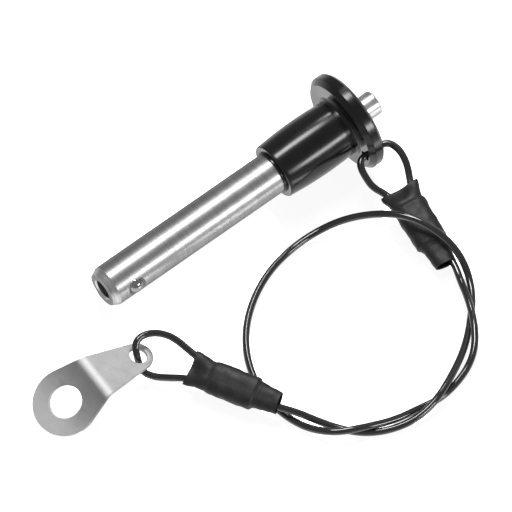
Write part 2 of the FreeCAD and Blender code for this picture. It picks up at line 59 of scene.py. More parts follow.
# Control points of the cable's curve, in millimetres from the frame's origin.
ROUTE = [
    # flange loop, from the cut end in the ferrule
    (27.5, -35.2, 3.3), (29.2, -23.5, 5.4), (28.4, -18.1, 5.7), (26.7, -15.6, 6.9),
    (26.5, -13.0, 8.5), (26.9, -10.7, 9.4), (28.2, -9.17, 10.02), (34.4, -9.17, 10.7),
    (36.1, -10.4, 10.7), (36.7, -13.2, 10.1), (36.0, -16.5, 8.9), (34.4, -19.5, 7.5),
    (32.0, -24.1, 6.1), (30.3, -35.8, 4.0),
    # first turn
    (29.7, -42.2, 3.0), (28.2, -46.2, 2.2), (26.0, -51.9, 2.9), (23.1, -57.7, 2.9),
    (20.1, -62.1, 1.6), (15.6, -65.7, 0.9), (9.9, -68.1, 0.9), (4.2, -69.2, 0.9),
    (-1.3, -68.5, 0.9), (-7.9, -68.0, 1.4), (-15.1, -66.4, 2.9), (-21.4, -63.5, 2.9),
    (-24.8, -58.2, 1.6), (-26.3, -52.6, 0.9), (-26.9, -46.3, 0.9), (-26.0, -39.9, 0.9),
    (-23.0, -32.7, 0.9), (-18.1, -26.0, 0.9), (-11.4, -20.4, 0.9), (-3.5, -16.3, 0.9),
    (4.6, -14.5, 1.1), (11.8, -14.9, 2.2), (17.5, -17.7, 4.9), (22.4, -23.2, 8.5),
    (27.0, -29.1, 9.8), (29.7, -35.5, 8.7), (31.5, -40.2, 5.5),
    # second half turn
    (31.2, -45.0, 2.5), (28.2, -50.8, 0.9), (22.9, -56.5, 0.9), (16.8, -62.0, 1.5),
    (9.2, -67.0, 2.9), (2.3, -70.3, 2.9), (-4.2, -70.9, 1.5), (-10.4, -69.3, 0.9),
    (-15.6, -66.3, 0.9), (-19.2, -61.8, 1.0), (-22.1, -57.5, 1.8), (-25.0, -53.6, 3.4),
    # tab loop, to the cut end in the ferrule
    (-30.7, -46.5, 4.5), (-36.1, -35.7, 4.9), (-39.8, -31.0, 4.4), (-42.0, -28.0, 3.2),
    (-43.8, -25.3, 2.2), (-45.1, -23.2, 2.6), (-45.3, -22.0, 3.9), (-45.2, -20.3, 8.0),
    (-44.2, -19.1, 9.2), (-41.7, -18.8, 9.6), (-38.6, -20.1, 9.2), (-36.2, -23.0, 8.4),
    (-35.1, -28.6, 7.2), (-33.7, -34.5, 6.1), (-28.3, -45.3, 5.7),
]
# The points of ROUTE between which the two strands of each loop run through its ferrule.
FLANGE_STRANDS = ((1, 0), (12, 13))
TAB_STRANDS = ((54, 53), (66, 67))

scene = bpy.context.scene

# ---------------------------------------------------------------- camera

TARGET = Vector((-7.68, -16.48, 9.42)) * MM
LOOK = Vector((0.3755, 0.4852, -0.7896)).normalized()
RIGHT = Vector((0.7908, -0.612, 0.0)).normalized()
CAMERA_DISTANCE = 4.529
LENS = 1400


def make_camera():
    data = bpy.data.cameras.new("camera")
    data.lens = LENS
    data.sensor_width = 36
    data.clip_start, data.clip_end = 0.1, 20
    cam = bpy.data.objects.new("camera", data)
    scene.collection.objects.link(cam)
    up = (-LOOK).cross(RIGHT)
    turn = Matrix((RIGHT, up, -LOOK)).transposed()
    cam.matrix_world = Matrix.Translation(TARGET - LOOK * CAMERA_DISTANCE) @ turn.to_4x4()
    scene.camera = cam


make_camera()

# ---------------------------------------------------------------- material helpers


class Nodes:
    """Small helper that adds and links nodes of one material."""

    def __init__(self, name):
        self.material = bpy.data.materials.new(name)
        self.material.use_nodes = True
        self.tree = self.material.node_tree
        self.shader = self.tree.nodes["Principled BSDF"]

    def add(self, kind, **settings):
        node = self.tree.nodes.new("ShaderNode" + kind)
        for key, value in settings.items():
            setattr(node, key, value)
        return node

    def link(self, source, target):
        self.tree.links.new(source, target)

    def put(self, target, value):
        """Sets a socket to a constant or links it to another node's socket."""
        if isinstance(value, bpy.types.NodeSocket):
            self.link(value, target)
        else:
            target.default_value = value

    def coords(self, scale=(1, 1, 1)):
        """Object coordinates, stretched."""
        place = self.add("TexCoord")
        mapping = self.add("Mapping")
        mapping.inputs["Scale"].default_value = scale
        self.link(place.outputs["Object"], mapping.inputs["Vector"])
        return mapping.outputs["Vector"]

    def axis(self, name):
        """One object coordinate, in metres."""
        split = self.add("SeparateXYZ")
        self.link(self.coords(), split.inputs["Vector"])
        return split.outputs[name]

    def noise(self, vector, scale, detail=4.0, rough=0.55):
        tex = self.add("TexNoise")
        self.link(vector, tex.inputs["Vector"])
        tex.inputs["Scale"].default_value = scale
        tex.inputs["Detail"].default_value = detail
        tex.inputs["Roughness"].default_value = rough
        return tex.outputs["Fac"]

    def ramp(self, value, low, high, to_low=0.0, to_high=1.0):
        """Maps low..high to to_low..to_high and clamps the rest."""
        node = self.add("MapRange", clamp=True)
        self.link(value, node.inputs["Value"])
        for name, number in (("From Min", low), ("From Max", high),
                             ("To Min", to_low), ("To Max", to_high)):
            node.inputs[name].default_value = number
        return node.outputs["Result"]

    def math(self, kind, a, b):
        node = self.add("Math", operation=kind)
        self.put(node.inputs[0], a)
        self.put(node.inputs[1], b)
        return node.outputs[0]

    def mix(self, factor, a, b):
        node = self.add("Mix", data_type="RGBA")
        self.put(node.inputs["Factor"], factor)
        self.put(node.inputs["A"], a)
        self.put(node.inputs["B"], b)
        return node.outputs["Result"]

    def bump(self, height, distance, strength):
        node = self.add("Bump")
        self.link(height, node.inputs["Height"])
        node.inputs["Distance"].default_value = distance
        node.inputs["Strength"].default_value = strength
        return node.outputs["Normal"]

    def set(self, **values):
        for name, value in values.items():
            self.put(self.shader.inputs[name.replace("_", " ")], value)


def grey(value):
    return (value, value, value, 1.0)


def turned_metal(name, light, dark, rough, ring_scale=9000, ring_depth=0.000004, marks=1.0):
    """Metal turned about the local X axis: fine rings, faint scuffs and soft stains.

    light and dark are the tones between which it varies, and marks scales the bump and the scuffs.
    """
    m = Nodes(name)
    rings = m.noise(m.coords((ring_scale, 30, 30)), 1.0, 3.0)
    wide = m.noise(m.coords((ring_scale / 8, 12, 12)), 1.0, 3.0)
    stain = m.noise(m.coords(), 260, 5.0)
    scuff = m.noise(m.coords((900, 2600, 2600)), 1.0, 6.0, 0.7)
    bands = m.noise(m.coords((ring_scale / 3, 60, 60)), 1.0, 2.0)
    tone = m.math("ADD", m.math("MULTIPLY", bands, 0.6), m.math("MULTIPLY", stain, 0.4))
    colour = m.mix(m.ramp(tone, 0.35, 0.65), grey(dark), grey(light))
    roughness = m.math("ADD", m.ramp(wide, 0.3, 0.7, rough * 0.85, rough * 1.1),
                       m.ramp(scuff, 0.55, 0.8, 0.0, 0.08 * marks))
    height = m.math("ADD", rings, m.math("MULTIPLY", bands, 2.0))
    m.set(Metallic=1.0, Base_Color=colour, Roughness=roughness, Specular_Tint=grey(0.35),
          Normal=m.bump(height, ring_depth, marks))
    return m.material


def black_anodise():
    """Gloss black handle, with fine turning marks and dust-like wear in the sheen."""
    m = Nodes("black_anodise")
    rings = m.noise(m.coords((7000, 40, 40)), 1.0, 2.0)
    haze = m.noise(m.coords(), 420, 5.0)
    specks = m.noise(m.coords(), 5200, 2.0)
    colour = m.mix(m.ramp(haze, 0.3, 0.7), grey(0.001), grey(0.003))
    roughness = m.math("ADD", m.ramp(haze, 0.3, 0.7, 0.18, 0.22),
                       m.ramp(specks, 0.62, 0.75, 0.0, 0.10))
    m.set(Metallic=0.0, Base_Color=colour, Roughness=roughness, IOR=1.5,
          Specular_IOR_Level=0.55, Normal=m.bump(rings, 0.000003, 0.7))
    return m.material


def coat_black():
    """The cable's thick plastic coat, with the rope's lay just showing and light scuffs."""
    m = Nodes("cable_coat")
    fine = m.noise(m.coords(), 2400, 4.0)
    broad = m.noise(m.coords(), 240, 3.0)
    scuff = m.noise(m.coords(), 900, 6.0, 0.7)
    colour = m.mix(m.ramp(broad, 0.3, 0.7), grey(0.008), grey(0.016))
    roughness = m.math("ADD", m.ramp(broad, 0.3, 0.7, 0.08, 0.12),
                       m.ramp(scuff, 0.55, 0.75, 0.0, 0.10))
    m.set(Base_Color=colour, Roughness=roughness, IOR=1.5, Specular_IOR_Level=1.0,
          Normal=m.bump(fine, 0.00001, 0.5))
    return m.material


def shrink_film():
    """Heat-shrunk polyolefin: charcoal, blotchy sheen, small pits and fine wrinkles."""
    m = Nodes("shrink_film")
    blotch = m.noise(m.coords(), 520, 5.0, 0.6)
    fine = m.noise(m.coords(), 3400, 4.0, 0.6)
    pull = m.noise(m.coords((900, 900, 260)), 1.0, 4.0)
    dust = m.noise(m.coords(), 9000, 2.0)
    shade = m.math("ADD", m.math("MULTIPLY", blotch, 0.7), m.math("MULTIPLY", fine, 0.3))
    colour = m.mix(m.ramp(shade, 0.35, 0.65), grey(0.008), grey(0.020))
    colour = m.mix(m.ramp(dust, 0.68, 0.8, 0.0, 0.5), colour, grey(0.09))
    roughness = m.ramp(blotch, 0.3, 0.7, 0.40, 0.58)
    height = m.math("ADD", pull, m.math("MULTIPLY", fine, 0.35))
    m.set(Base_Color=colour, Roughness=roughness, IOR=1.5, Normal=m.bump(height, 0.00008, 0.6))
    return m.material


def tumbled_steel():
    """Stamped and tumbled steel: satin, with a fine random tooth and faint long scratches."""
    m = Nodes("tab_steel")
    tooth = m.noise(m.coords(), 5200, 4.0, 0.7)
    cloud = m.noise(m.coords(), 330, 5.0)
    grain = m.noise(m.coords((120, 4200, 4200)), 1.0, 4.0, 0.6)
    tone = m.math("ADD", m.math("MULTIPLY", cloud, 0.6), m.math("MULTIPLY", tooth, 0.4))
    colour = m.mix(m.ramp(tone, 0.35, 0.65), grey(0.50), grey(0.66))
    # painted shade: darker towards the bend, at X = 0, on the ring's side; painted light: paler at
    # the ring's far side
    along = m.axis("X")
    painted_bend_shade = m.math("MULTIPLY", m.ramp(along, -0.0125, -0.0020), m.ramp(along, 0.0004, -0.0012))
    colour = m.mix(m.math("MULTIPLY", painted_bend_shade, 0.75), colour, grey(0.17))
    # painted light: paler towards the ring's far side
    pale = m.math("MULTIPLY", m.ramp(along, -0.008, -0.0165), 0.7)
    colour = m.mix(pale, colour, grey(0.82))
    roughness = m.math("ADD", m.ramp(cloud, 0.3, 0.7, 0.51, 0.57),
                       m.ramp(grain, 0.6, 0.8, 0.0, 0.08))
    height = m.math("ADD", tooth, m.math("MULTIPLY", grain, 0.7))
    m.set(Metallic=1.0, Base_Color=colour, Roughness=roughness, Specular_Tint=grey(0.5),
          Normal=m.bump(height, 0.00004, 0.8))
    return m.material


# light tone, dark tone, roughness, then the rings' scale, their depth and how marked it is
STEEL = turned_metal("shank_steel", 0.47, 0.33, 0.36)
BUTTON_STEEL = turned_metal("button_steel", 0.72, 0.56, 0.34, 6000, 0.000006)
FACE_METAL = turned_metal("machined_face", 0.56, 0.48, 0.14, 5000, 0.000002, 0.6)
CHAMFER_STEEL = turned_metal("chamfer_steel", 0.88, 0.50, 0.30, 5000, 0.00003, 1.4)
INNER_STEEL = turned_metal("inner_steel", 0.40, 0.30, 0.35)
BALL_STEEL = turned_metal("ball_steel", 0.46, 0.38, 0.10, 800, 0.000001, 0.4)
WIRE_STEEL = turned_metal("wire_steel", 0.45, 0.36, 0.32, 1200)
FERRULE_METAL = turned_metal("ferrule_metal", 0.55, 0.45, 0.38, 1500)
ANODISE = black_anodise()
COAT = coat_black()
FILM = shrink_film()
TAB_STEEL = tumbled_steel()

# ---------------------------------------------------------------- mesh helpers

PIN = (Matrix.Translation(TIP * MM) @ Matrix.Rotation(-LEAN, 4, "Y")
       @ Matrix.Rotation(BALL_FACING, 4, "X"))


def add_object(name, mesh, place, body, nodes, materials):
    """Puts a mesh in the scene, riding on a body, as the visual of the CAD nodes it replaces."""
    obj = bpy.data.objects.new(name, mesh)
    scene.collection.objects.link(obj)
    for material in materials:
        mesh.materials.append(material)
    obj.matrix_world = place
    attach(obj, body)
    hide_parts(*nodes)
    return obj


def smooth(mesh, angle):
    mesh.polygons.foreach_set("use_smooth", [True] * len(mesh.polygons))
    mesh.set_sharp_from_angle(angle=math.radians(angle))
    mesh.update()


def skin(bm, loops):
    """Joins each closed loop of vertices to the next with quads."""
    for a, b in zip(loops, loops[1:]):
        for k in range(len(a)):
            j = (k + 1) % len(a)
            bm.faces.new((a[k], a[j], b[j], b[k]))


def finished(bm, name, angle):
    """The mesh of bm, with its faces turned outwards and edges sharper than angle kept sharp."""
    bmesh.ops.recalc_face_normals(bm, faces=bm.faces)
    mesh = bpy.data.meshes.new(name)
    bm.to_mesh(mesh)
    bm.free()
    smooth(mesh, angle)
    return mesh


def squircle(angle, half_width, half_thick, power):
    """A point of a rounded rectangle's outline, from a superellipse."""
    c, s = math.cos(angle), math.sin(angle)
    return (math.copysign(abs(c) ** power, c) * half_width,
            math.copysign(abs(s) ** power, s) * half_thick)


def rounded(corners, steps):
    """A polyline from (x, r, rounding) corners; a rounding of 0 keeps the corner sharp."""
    out = []
    count = len(corners)
    for i, (x, r, size) in enumerate(corners):
        here = Vector((x, r))
        if size <= 0:
            out.append((x, r))
            continue
        before = Vector(corners[i - 1][:2])
        after = Vector(corners[(i + 1) % count][:2])
        a, b = (before - here).normalized(), (after - here).normalized()
        half = a.angle(b) / 2
        reach = size / math.tan(half)
        centre = here + (a + b).normalized() * (size / math.sin(half))
        start, end = here + a * reach - centre, here + b * reach - centre
        turn = start.angle_signed(end)
        for k in range(steps + 1):
            part = start.copy()
            part.rotate(Matrix.Rotation(-turn * k / steps, 2))
            out.append(tuple(centre + part))
    return out


def lathe(name, outline, segments, closed=True):
    """A mesh turned about X from an outline of (x, r) in millimetres."""
    mesh = bpy.data.meshes.new(name)
    bm = bmesh.new()
    rings = []
    for x, r in outline:
        if r < 1e-6:
            rings.append([bm.verts.new((x * MM, 0, 0))])
            continue
        ring = []
        for k in range(segments):
            t = 2 * math.pi * k / segments
            ring.append(bm.verts.new((x * MM, r * math.cos(t) * MM, r * math.sin(t) * MM)))
        rings.append(ring)
    pairs = list(zip(rings, rings[1:]))
    if closed:
        pairs.append((rings[-1], rings[0]))
    for a, b in pairs:
        if len(a) == 1 and len(b) == 1:
            continue
        for k in range(segments):
            j = (k + 1) % segments
            if len(a) == 1:
                bm.faces.new((a[0], b[k], b[j]))
            elif len(b) == 1:
                bm.faces.new((a[k], b[0], a[j]))
            else:
                bm.faces.new((a[k], b[k], b[j], a[j]))
    bmesh.ops.recalc_face_normals(bm, faces=bm.faces)
    bm.to_mesh(mesh)
    bm.free()
    return mesh


def carve(mesh, cutter):
    """mesh less the cutter, as a new mesh."""
    base = bpy.data.objects.new("carve_base", mesh)
    tool = bpy.data.objects.new("carve_tool", cutter)
    for obj in (base, tool):
        scene.collection.objects.link(obj)
    cut = base.modifiers.new("cut", "BOOLEAN")
    cut.operation = "DIFFERENCE"
    cut.solver = "EXACT"
    cut.object = tool
    graph = bpy.context.evaluated_depsgraph_get()
    made = bpy.data.meshes.new_from_object(base.evaluated_get(graph))
    for obj in (base, tool):
        bpy.data.objects.remove(obj)
    return made


def stand_along_y(mesh, x):
    """Turns a mesh made about X so that it stands along Y at the given x."""
    mesh.transform(Matrix.Translation((x * MM, 0, 0)) @ Matrix.Rotation(math.pi / 2, 4, "Z"))
    return mesh


# ---------------------------------------------------------------- pin

# Stations along the pin from its tip face, and radii, in millimetres.
SHANK_R, SEAT_R, BORE_R = 5.0, 4.8, 2.35
CHAMFER_END, NOSE_FRONT, SHANK_BACK = 1.75, 48.9, 57.2
BALL_AT, BALL_R, BALL_OUT = 6.5, 2.0, 3.95
SPINDLE_R, STUB_R, STUB_END = 2.25, 1.5, 70.7
BUTTON_R, BUTTON_FRONT, BUTTON_END = 3.0, 65.3, 79.0
COLLAR_R, COLLAR_BACK = 4.0, 67.6
BARREL_FRONT, BARREL_FRONT_R, BARREL_REAR_R, BARREL_CROWN = 49.55, 6.7, 6.9, 0.48
FLANGE_FRONT, FLANGE_BACK, FLANGE_R, ROOT_FILLET = 68.85, 72.8, 12.2, 1.0
BUSH_R, BUSH_FRONT, BUSH_BACK = 4.7, 67.7, 71.5
LANYARD_HOLE_OUT = 9.4


def make_shank():
    body = lathe("shank", rounded([
        (0.35, BORE_R, 0), (0.0, 2.7, 0.05), (0.0, 4.1, 0.12), (CHAMFER_END, 4.96, 0.12),
        (9.0, SHANK_R, 0), (NOSE_FRONT, SHANK_R, 0), (NOSE_FRONT, SEAT_R, 0),
        (SHANK_BACK, SEAT_R, 0), (SHANK_BACK, BORE_R, 0),
    ], 4), 256)
    # the cutter's outline leaves a ring pressed round each mouth and a narrow lip over the ball
    hole = stand_along_y(lathe("ball_hole", [
        (-6.0, 2.30), (-4.95, 2.28), (-4.66, 2.22), (-4.60, 2.12), (-4.66, 2.02), (-4.84, 1.94),
        (-4.86, 1.84), (-4.45, 2.05), (4.45, 2.05), (4.86, 1.84), (4.84, 1.94), (4.66, 2.02),
        (4.60, 2.12), (4.66, 2.22), (4.95, 2.28), (6.0, 2.30), (6.0, 0.0), (-6.0, 0.0),
    ], 128, closed=False), BALL_AT)
    mesh = carve(body, hole)
    smooth(mesh, 30)
    add_object("shank_visual", mesh, PIN, "pin", ["shank"],
               [STEEL, CHAMFER_STEEL])
    for face in mesh.polygons:
        slanted = -0.9 < face.normal.x < -0.2
        face.material_index = int(face.center.x < (CHAMFER_END - 0.03) * MM and slanted)


def make_balls():
    for name, side, body in (("front", 1, "front_ball"), ("rear", -1, "rear_ball")):
        mesh = bpy.data.meshes.new("ball_" + name)
        bm = bmesh.new()
        bmesh.ops.create_uvsphere(bm, u_segments=64, v_segments=40, radius=BALL_R * MM)
        bm.to_mesh(mesh)
        bm.free()
        smooth(mesh, 60)
        place = PIN @ Matrix.Translation(Vector((BALL_AT, side * BALL_OUT, 0)) * MM)
        add_object("ball_%s_visual" % name, mesh, place, body, ["locking_ball_" + name],
                   [BALL_STEEL])


def make_spindle():
    mesh = lathe("spindle", rounded([
        (4.1, 0.0, 0), (4.1, SPINDLE_R, 0.2), (5.02, SPINDLE_R, 0.1), (10.1, 0.87, 0.3),
        (10.7, 0.87, 0.3), (12.6, SPINDLE_R, 0.2), (BUTTON_FRONT, SPINDLE_R, 0),
        (BUTTON_FRONT, STUB_R, 0), (STUB_END, STUB_R, 0), (STUB_END, 0.0, 0),
    ], 4), 96, closed=False)
    smooth(mesh, 30)
    add_object("spindle_visual", mesh, PIN, "plunger", ["spindle"], [INNER_STEEL])


def make_button():
    mesh = lathe("push_button", rounded([
        (BUTTON_FRONT, STUB_R, 0), (BUTTON_FRONT, COLLAR_R, 0.2), (COLLAR_BACK, COLLAR_R, 0.2),
        (COLLAR_BACK, BUTTON_R, 0), (BUTTON_END, BUTTON_R, 0.45), (BUTTON_END, 0.0, 0),
        (STUB_END, 0.0, 0), (STUB_END, STUB_R, 0),
    ], 8), 128, closed=False)
    smooth(mesh, 30)
    add_object("push_button_visual", mesh, PIN, "plunger", ["push_button"],
               [BUTTON_STEEL])


def barrel_radius(s):
    """The barrel's crowned side between its front and the root of the flange."""
    k = (s - BARREL_FRONT) / (FLANGE_FRONT - BARREL_FRONT)
    straight = BARREL_FRONT_R + (BARREL_REAR_R - BARREL_FRONT_R) * k
    return straight + BARREL_CROWN * 4 * k * (1 - k)


def make_handle():
    nose = rounded([(NOSE_FRONT, SEAT_R, 0), (NOSE_FRONT, 5.35, 0.1), (BARREL_FRONT, 5.35, 0)], 3)
    front = [(BARREL_FRONT, 6.5), (49.58, 6.6), (49.65, 6.68)]
    start, end, steps = 49.75, FLANGE_FRONT - ROOT_FILLET, 24
    stations = [start + i * (end - start) / steps for i in range(steps + 1)]
    side = [(s, barrel_radius(s)) for s in stations]
    root_r = side[-1][1] + ROOT_FILLET
    root = []
    for k in range(1, 9):
        t = math.pi / 2 * k / 8
        root.append((end + math.sin(t) * ROOT_FILLET, root_r - math.cos(t) * ROOT_FILLET))
    front_slant, back_slant = 1.15, 0.8
    rim = rounded([
        (FLANGE_FRONT, root_r, 0), (FLANGE_FRONT, FLANGE_R - front_slant, 0.35),
        (FLANGE_FRONT + front_slant, FLANGE_R, 0.35), (FLANGE_BACK - back_slant, FLANGE_R, 0.3),
        (FLANGE_BACK, FLANGE_R - back_slant, 0.35), (FLANGE_BACK, 4.85, 0.15),
        (FLANGE_BACK - 0.6, BUSH_R, 0),
    ], 10)[1:]
    groove_front, groove_back, groove_r, chamber_r = 71.6, 72.2, 5.15, 4.2
    inside = [
        (groove_back, groove_r), (groove_front, groove_r), (groove_front, BUSH_R),
        (BUSH_FRONT, BUSH_R), (BUSH_FRONT, chamber_r), (SHANK_BACK, chamber_r),
        (SHANK_BACK, SEAT_R),
    ]
    body = lathe("handle", nose + front + side + root + rim + inside, 256)
    # the lanyard's hole, countersunk at the back, through the flange
    turn = HOLE_FACING - BALL_FACING
    drill = lathe("lanyard_drill", [
        (66.6, 0), (66.6, 1.3), (72.6, 1.3), (72.85, 1.5), (74.6, 1.5), (74.6, 0),
    ], 64, closed=False)
    drill.transform(Matrix.Translation(
        Vector((0, LANYARD_HOLE_OUT * math.cos(turn), LANYARD_HOLE_OUT * math.sin(turn))) * MM))
    mesh = carve(body, drill)
    smooth(mesh, 30)
    add_object("handle_visual", mesh, PIN, "pin", ["handle"],
               [ANODISE, FACE_METAL])
    # the two faces that point at the tip are bare metal
    for face in mesh.polygons:
        x = face.center.x / MM
        on_face = abs(x - BARREL_FRONT) < 0.05 or abs(x - FLANGE_FRONT) < 0.05
        face.material_index = int(face.normal.x < -0.985 and on_face)


def make_rear():
    inner_r = BUTTON_R + 0.06
    bush = lathe("rear_bush", rounded([
        (BUSH_FRONT, inner_r, 0), (BUSH_FRONT, BUSH_R, 0), (BUSH_BACK, BUSH_R, 0.1),
        (BUSH_BACK, inner_r, 0.25),
    ], 5), 128)
    smooth(bush, 30)
    add_object("rear_bush_visual", bush, PIN, "pin", ["rear_bush"], [INNER_STEEL])

    bm = bmesh.new()
    half_gap, steps = math.radians(24), 96
    loops = []
    for k in range(steps + 1):
        t = math.pi / 2 + half_gap + (2 * math.pi - 2 * half_gap) * k / steps
        loop = []
        for x, r in ((71.63, 4.15), (71.69, 4.1), (72.11, 4.1), (72.17, 4.15), (72.17, 5.05),
                     (72.11, 5.1), (71.69, 5.1), (71.63, 5.05)):
            loop.append(bm.verts.new((x * MM, r * math.cos(t) * MM, r * math.sin(t) * MM)))
        loops.append(loop)
    skin(bm, loops)
    bm.faces.new(loops[0][::-1])
    bm.faces.new(loops[-1])
    add_object("retaining_ring_visual", finished(bm, "retaining_ring", 30), PIN, "pin",
               ["retaining_ring"], [WIRE_STEEL])


def make_spring():
    wire, radius, pitch = 0.35, 3.4, 1.55
    start, end = 57.6, 64.9
    turns = (end - start) / pitch
    steps = int(turns * 40)
    bm = bmesh.new()
    loops = []
    for i in range(steps + 1):
        t = 2 * math.pi * turns * i / steps
        x = start + (end - start) * i / steps
        out = Vector((0, math.cos(t), math.sin(t)))
        centre = Vector((x, 0, 0)) + out * radius
        loops.append([
            bm.verts.new((centre + out * wire * math.cos(u)
                          + Vector((wire * math.sin(u), 0, 0))) * MM)
            for u in [2 * math.pi * k / 12 for k in range(12)]
        ])
    skin(bm, loops)
    bm.faces.new(loops[0][::-1])
    bm.faces.new(loops[-1])
    spring = add_object("return_spring_visual", finished(bm, "return_spring", 50), PIN, "pin",
                        ["return_spring"], [WIRE_STEEL])
    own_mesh(spring)


# ---------------------------------------------------------------- lanyard


def make_cable():
    curve = bpy.data.curves.new("lanyard_cable", "CURVE")
    curve.dimensions = "3D"
    curve.bevel_depth = CABLE_R * MM
    curve.bevel_resolution = 7
    curve.resolution_u = 14
    curve.use_fill_caps = True
    spline = curve.splines.new("NURBS")
    spline.points.add(len(ROUTE) - 1)
    for point, place in zip(spline.points, ROUTE):
        point.co = (*(Vector(place) * MM), 1.0)
    spline.order_u = 3
    spline.use_endpoint_u = True
    curve.materials.append(COAT)
    obj = bpy.data.objects.new("lanyard_cable_visual", curve)
    scene.collection.objects.link(obj)
    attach(obj, "lanyard")
    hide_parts("lanyard_cable")
    return obj


def crimp_frame(strands):
    """Middle between two strands, Z away from the loop, X from the first strand to the second."""
    a0, a1, b0, b1 = [Vector(ROUTE[i]) for pair in strands for i in pair]
    along = (a1 - a0).normalized()
    across = b0 - a0
    across = (across - along * across.dot(along)).normalized()
    middle = (a0 + a1 + b0 + b1) / 4
    turn = Matrix((across, along.cross(across), along)).transposed()
    return Matrix.Translation(middle * MM) @ turn.to_4x4()


def blend_rows(rows, z):
    """The values between two rows of (z, values...), eased."""
    if z <= rows[0][0]:
        return rows[0][1:]
    for a, b in zip(rows, rows[1:]):
        if z <= b[0]:
            k = (z - a[0]) / (b[0] - a[0])
            k = k * k * (3 - 2 * k)
            return tuple(p + (q - p) * k for p, q in zip(a[1:], b[1:]))
    return rows[-1][1:]


# Sleeve outline along its length: z, half width, half thickness, squareness, pinch between the
# strands, and how far the section lies to the side.
FLANGE_SLEEVE = [
    (-10.4, 4.83, 1.25, 2.3, 0.40, 0.12),
    (-6.3, 3.86, 2.22, 2.4, 0.08, -0.10),
    (-5.3, 4.10, 2.38, 2.5, 0.03, 0.08),
    (-2.0, 3.98, 2.42, 2.6, 0.04, 0.0),
    (2.0, 3.92, 2.40, 2.6, 0.05, 0.04),
    (4.9, 3.86, 2.40, 2.5, 0.03, 0.08),
    (5.7, 3.30, 2.05, 2.3, 0.05, 0.12),
    (6.6, 3.02, 1.95, 2.2, 0.08, 0.14),
    (9.0, 2.76, 1.75, 2.2, 0.08, 0.12),
    (11.4, 2.58, 1.65, 2.1, 0.02, 0.08),
]
TAB_SLEEVE = [
    (-11.4, 4.25, 1.28, 2.3, 0.42, 0.0),
    (-6.5, 3.66, 2.18, 2.4, 0.08, -0.18),
    (-4.8, 3.92, 2.38, 2.5, 0.03, -0.16),
    (-2.0, 3.95, 2.42, 2.6, 0.04, -0.14),
    (2.0, 3.92, 2.40, 2.6, 0.05, -0.12),
    (4.8, 3.90, 2.40, 2.5, 0.03, -0.08),
    (5.7, 3.25, 2.05, 2.3, 0.05, -0.05),
    (6.6, 3.08, 1.95, 2.2, 0.08, 0.0),
    (9.0, 2.85, 1.75, 2.2, 0.08, 0.0),
    (11.0, 2.65, 1.65, 2.1, 0.02, 0.0),
]


def sleeve_ring(rows, z, shrink, seed, count):
    """One section of a sleeve as points; shrink moves it inwards by the film's thickness."""
    width, thick, square, pinch, aside = blend_rows(rows, z)
    points = []
    for k in range(count):
        t = 2 * math.pi * k / count
        x, y = squircle(t, width - shrink, thick - shrink, 2 / square)
        y *= 1 - pinch * math.exp(-((x / (0.42 * width)) ** 2))
        # slow waves round and along the film
        wave = (0.035 * math.sin(3 * t + 0.9 * z + seed)
                + 0.02 * math.sin(5 * t - 1.7 * z + 2 * seed)
                + 0.02 * math.sin(2.6 * z + seed + 1.3 * math.sin(t)))
        grow = 1 + wave / 3
        points.append((x * grow + aside, y * grow, z))
    return points


def make_sleeve(name, strands, rows, seed, slant):
    """Heat-shrunk sleeve: outer film, closed flat mouth at the loop, and an open tail."""
    count, steps, film = 96, 150, 0.32
    mouth_half, tail_half, cut_reach = 4.3, 2.6, 2.0
    start, end = rows[0][0], rows[-1][0]
    bm = bmesh.new()

    def ring(z, shrink=0.0):
        # the cut ends aren't quite square to the sleeve, and the mouth bows out in its middle
        lean = slant * max(0.0, (z - end + cut_reach) / cut_reach)
        bow = 0.35 * max(0.0, (start + cut_reach - z) / cut_reach)
        row = []
        for x, y, h in sleeve_ring(rows, z, shrink, seed, count):
            shift = lean * x / tail_half + bow * (1 - (x / mouth_half) ** 2)
            row.append(bm.verts.new(Vector((x, y, h + shift)) * MM))
        return row

    outer = [ring(start + (end - start) * i / steps) for i in range(steps + 1)]
    mouth = [ring(start + 0.02, 0.10), ring(start + 0.2, 0.28), ring(start + 0.5, 0.5)]
    tail = [ring(end - 0.02, 0.12)] + [ring(end - back, film) for back in (0.1, 1.4, 3.4, 5.0)]

    skin(bm, mouth[::-1] + outer + tail)
    bm.faces.new(mouth[-1])
    bm.faces.new(tail[-1])
    add_object(name + "_visual", finished(bm, name, 40), crimp_frame(strands), "lanyard", [name],
               [FILM])


def make_ferrule(name, strands):
    """Crimped sleeve of soft metal under the film, with two bands pressed round it."""
    count, half_width, half_thick = 72, 3.4, 1.95
    bm = bmesh.new()
    rows = []
    for z, inset in ((-5.25, 0.35), (-5.1, 0.12), (-4.7, 0.05), (-2.4, 0.0), (-2.0, 0.12),
                     (-0.4, 0.12), (0.0, 0.0), (0.4, 0.12), (2.0, 0.12), (2.4, 0.0), (4.7, 0.05),
                     (5.1, 0.12), (5.25, 0.35)):
        row = []
        for k in range(count):
            x, y = squircle(2 * math.pi * k / count, half_width - inset, half_thick - inset, 0.87)
            row.append(bm.verts.new((x * MM, y * MM, z * MM)))
        rows.append(row)
    skin(bm, rows)
    bm.faces.new(rows[0][::-1])
    bm.faces.new(rows[-1])
    add_object(name + "_visual", finished(bm, name, 35), crimp_frame(strands), "lanyard", [name],
               [FERRULE_METAL])


# ---------------------------------------------------------------- mounting tab

TAB_BEND = Vector((-57.3, -21.1, 8.55))
TAB_TURN = (math.radians(10.2), math.radians(-27.8), math.radians(-6.4))
TAB_ANGLE = math.radians(38.5)
TAB_RADIUS = 4.0
RING_R, EYE_R, END_R, HOLE_R = 7.9, 3.9, 3.55, 2.05
RING_REACH, END_REACH, BEND_HALF = 8.75, 12.4, 5.75
TAB_THICK = 1.0


